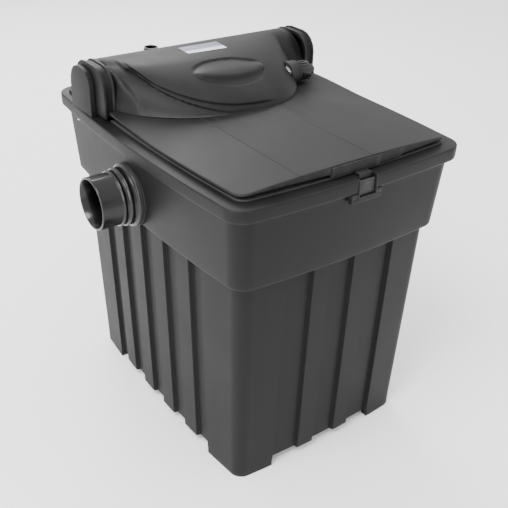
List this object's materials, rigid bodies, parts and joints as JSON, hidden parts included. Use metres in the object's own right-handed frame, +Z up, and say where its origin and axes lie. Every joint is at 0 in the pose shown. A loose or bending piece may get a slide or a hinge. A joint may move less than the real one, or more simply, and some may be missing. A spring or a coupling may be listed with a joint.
{
  "type": "pond filter box",
  "caption": "Ribbed plastic garden pond filter box with a hinged lid, a lamp dome, foam chambers, a hose inlet and a wide outlet spigot",
  "frame": {"origin": "middle of the bounding box at floor level, under the feet", "axes": "+Z up, +X to the right along the latch side, +Y from the latch side to the hinge side; the outlet spigot points along -X"},
  "size_m": [0.448, 0.5098, 0.5398],
  "materials": {
    "body_plastic": "satin moulded, charcoal",
    "gloss_black": "gloss moulded, black",
    "button_plastic": "satin moulded, grey",
    "white_plastic": "moulded, off white",
    "screw_steel": "plain stainless",
    "seal_rubber": "soft black rubber",
    "foam_blue": "open cell filter foam, coarse",
    "foam_cream": "open cell filter foam, fine",
    "foam_green": "open cell filter foam, medium",
    "label_face": "printed foil, blank",
    "quartz": "clear quartz",
    "lamp_glass": "lamp tube"
  },
  "bodies": {
    "tank": {"tank": "body_plastic", "hinge_bracket_left": "body_plastic", "hinge_bracket_right": "body_plastic", "bracket_screws": "screw_steel", "hinge_pins": "screw_steel", "rear_deck": "body_plastic", "deck_screws": "screw_steel", "hose_tail": "gloss_black", "hose_nut": "gloss_black", "hose_seal": "seal_rubber", "inlet_elbow": "gloss_black", "spray_tray": "body_plastic", "outlet_spigot": "gloss_black", "outlet_gasket": "seal_rubber", "outlet_nut": "gloss_black", "outlet_strainer": "body_plastic", "partition_front": "body_plastic", "partition_rear": "body_plastic", "media_grid": "body_plastic", "foam_coarse": "foam_blue", "foam_fine": "foam_cream", "foam_rear": "foam_green", "bio_balls": "gloss_black", "latch_frame": "body_plastic", "latch_spring": "screw_steel"},
    "lid": {"lid_plate": "body_plastic", "lid_catch": "body_plastic", "lid_seal": "seal_rubber", "hump_cover": "body_plastic", "end_flange_left": "body_plastic", "end_flange_right": "body_plastic", "hinge_bushes": "white_plastic", "lid_screws": "screw_steel", "label_plate": "label_face", "ballast_case": "white_plastic", "sleeve_saddles": "body_plastic", "quartz_sleeve": "quartz", "sleeve_seal": "seal_rubber", "uv_lamp": "lamp_glass", "lamp_socket": "white_plastic"},
    "latch": {"latch_button": "button_plastic", "latch_clip": "screw_steel"},
    "cap": {"lamp_cap": "gloss_black", "cap_seal": "seal_rubber", "cable_gland": "gloss_black", "gland_nut": "gloss_black"}
  },
  "joints": [
    {"name": "lid_hinge", "type": "hinge", "parent": "tank", "child": "lid", "pos_m": [0.024, 0.139, 0.498], "axis": [-1, 0, 0], "range_deg": [0, 95]},
    {"name": "latch_press", "type": "slide", "parent": "tank", "child": "latch", "axis": [0, 1, 0], "range_m": [0, 0.0015], "stiffness_N_per_m": 400},
    {"name": "cap_turn", "type": "hinge", "parent": "lid", "child": "cap", "pos_m": [0.154, 0.0395, 0.5], "axis": [1, 0, 0], "range_deg": [0, 60]}
  ]
}
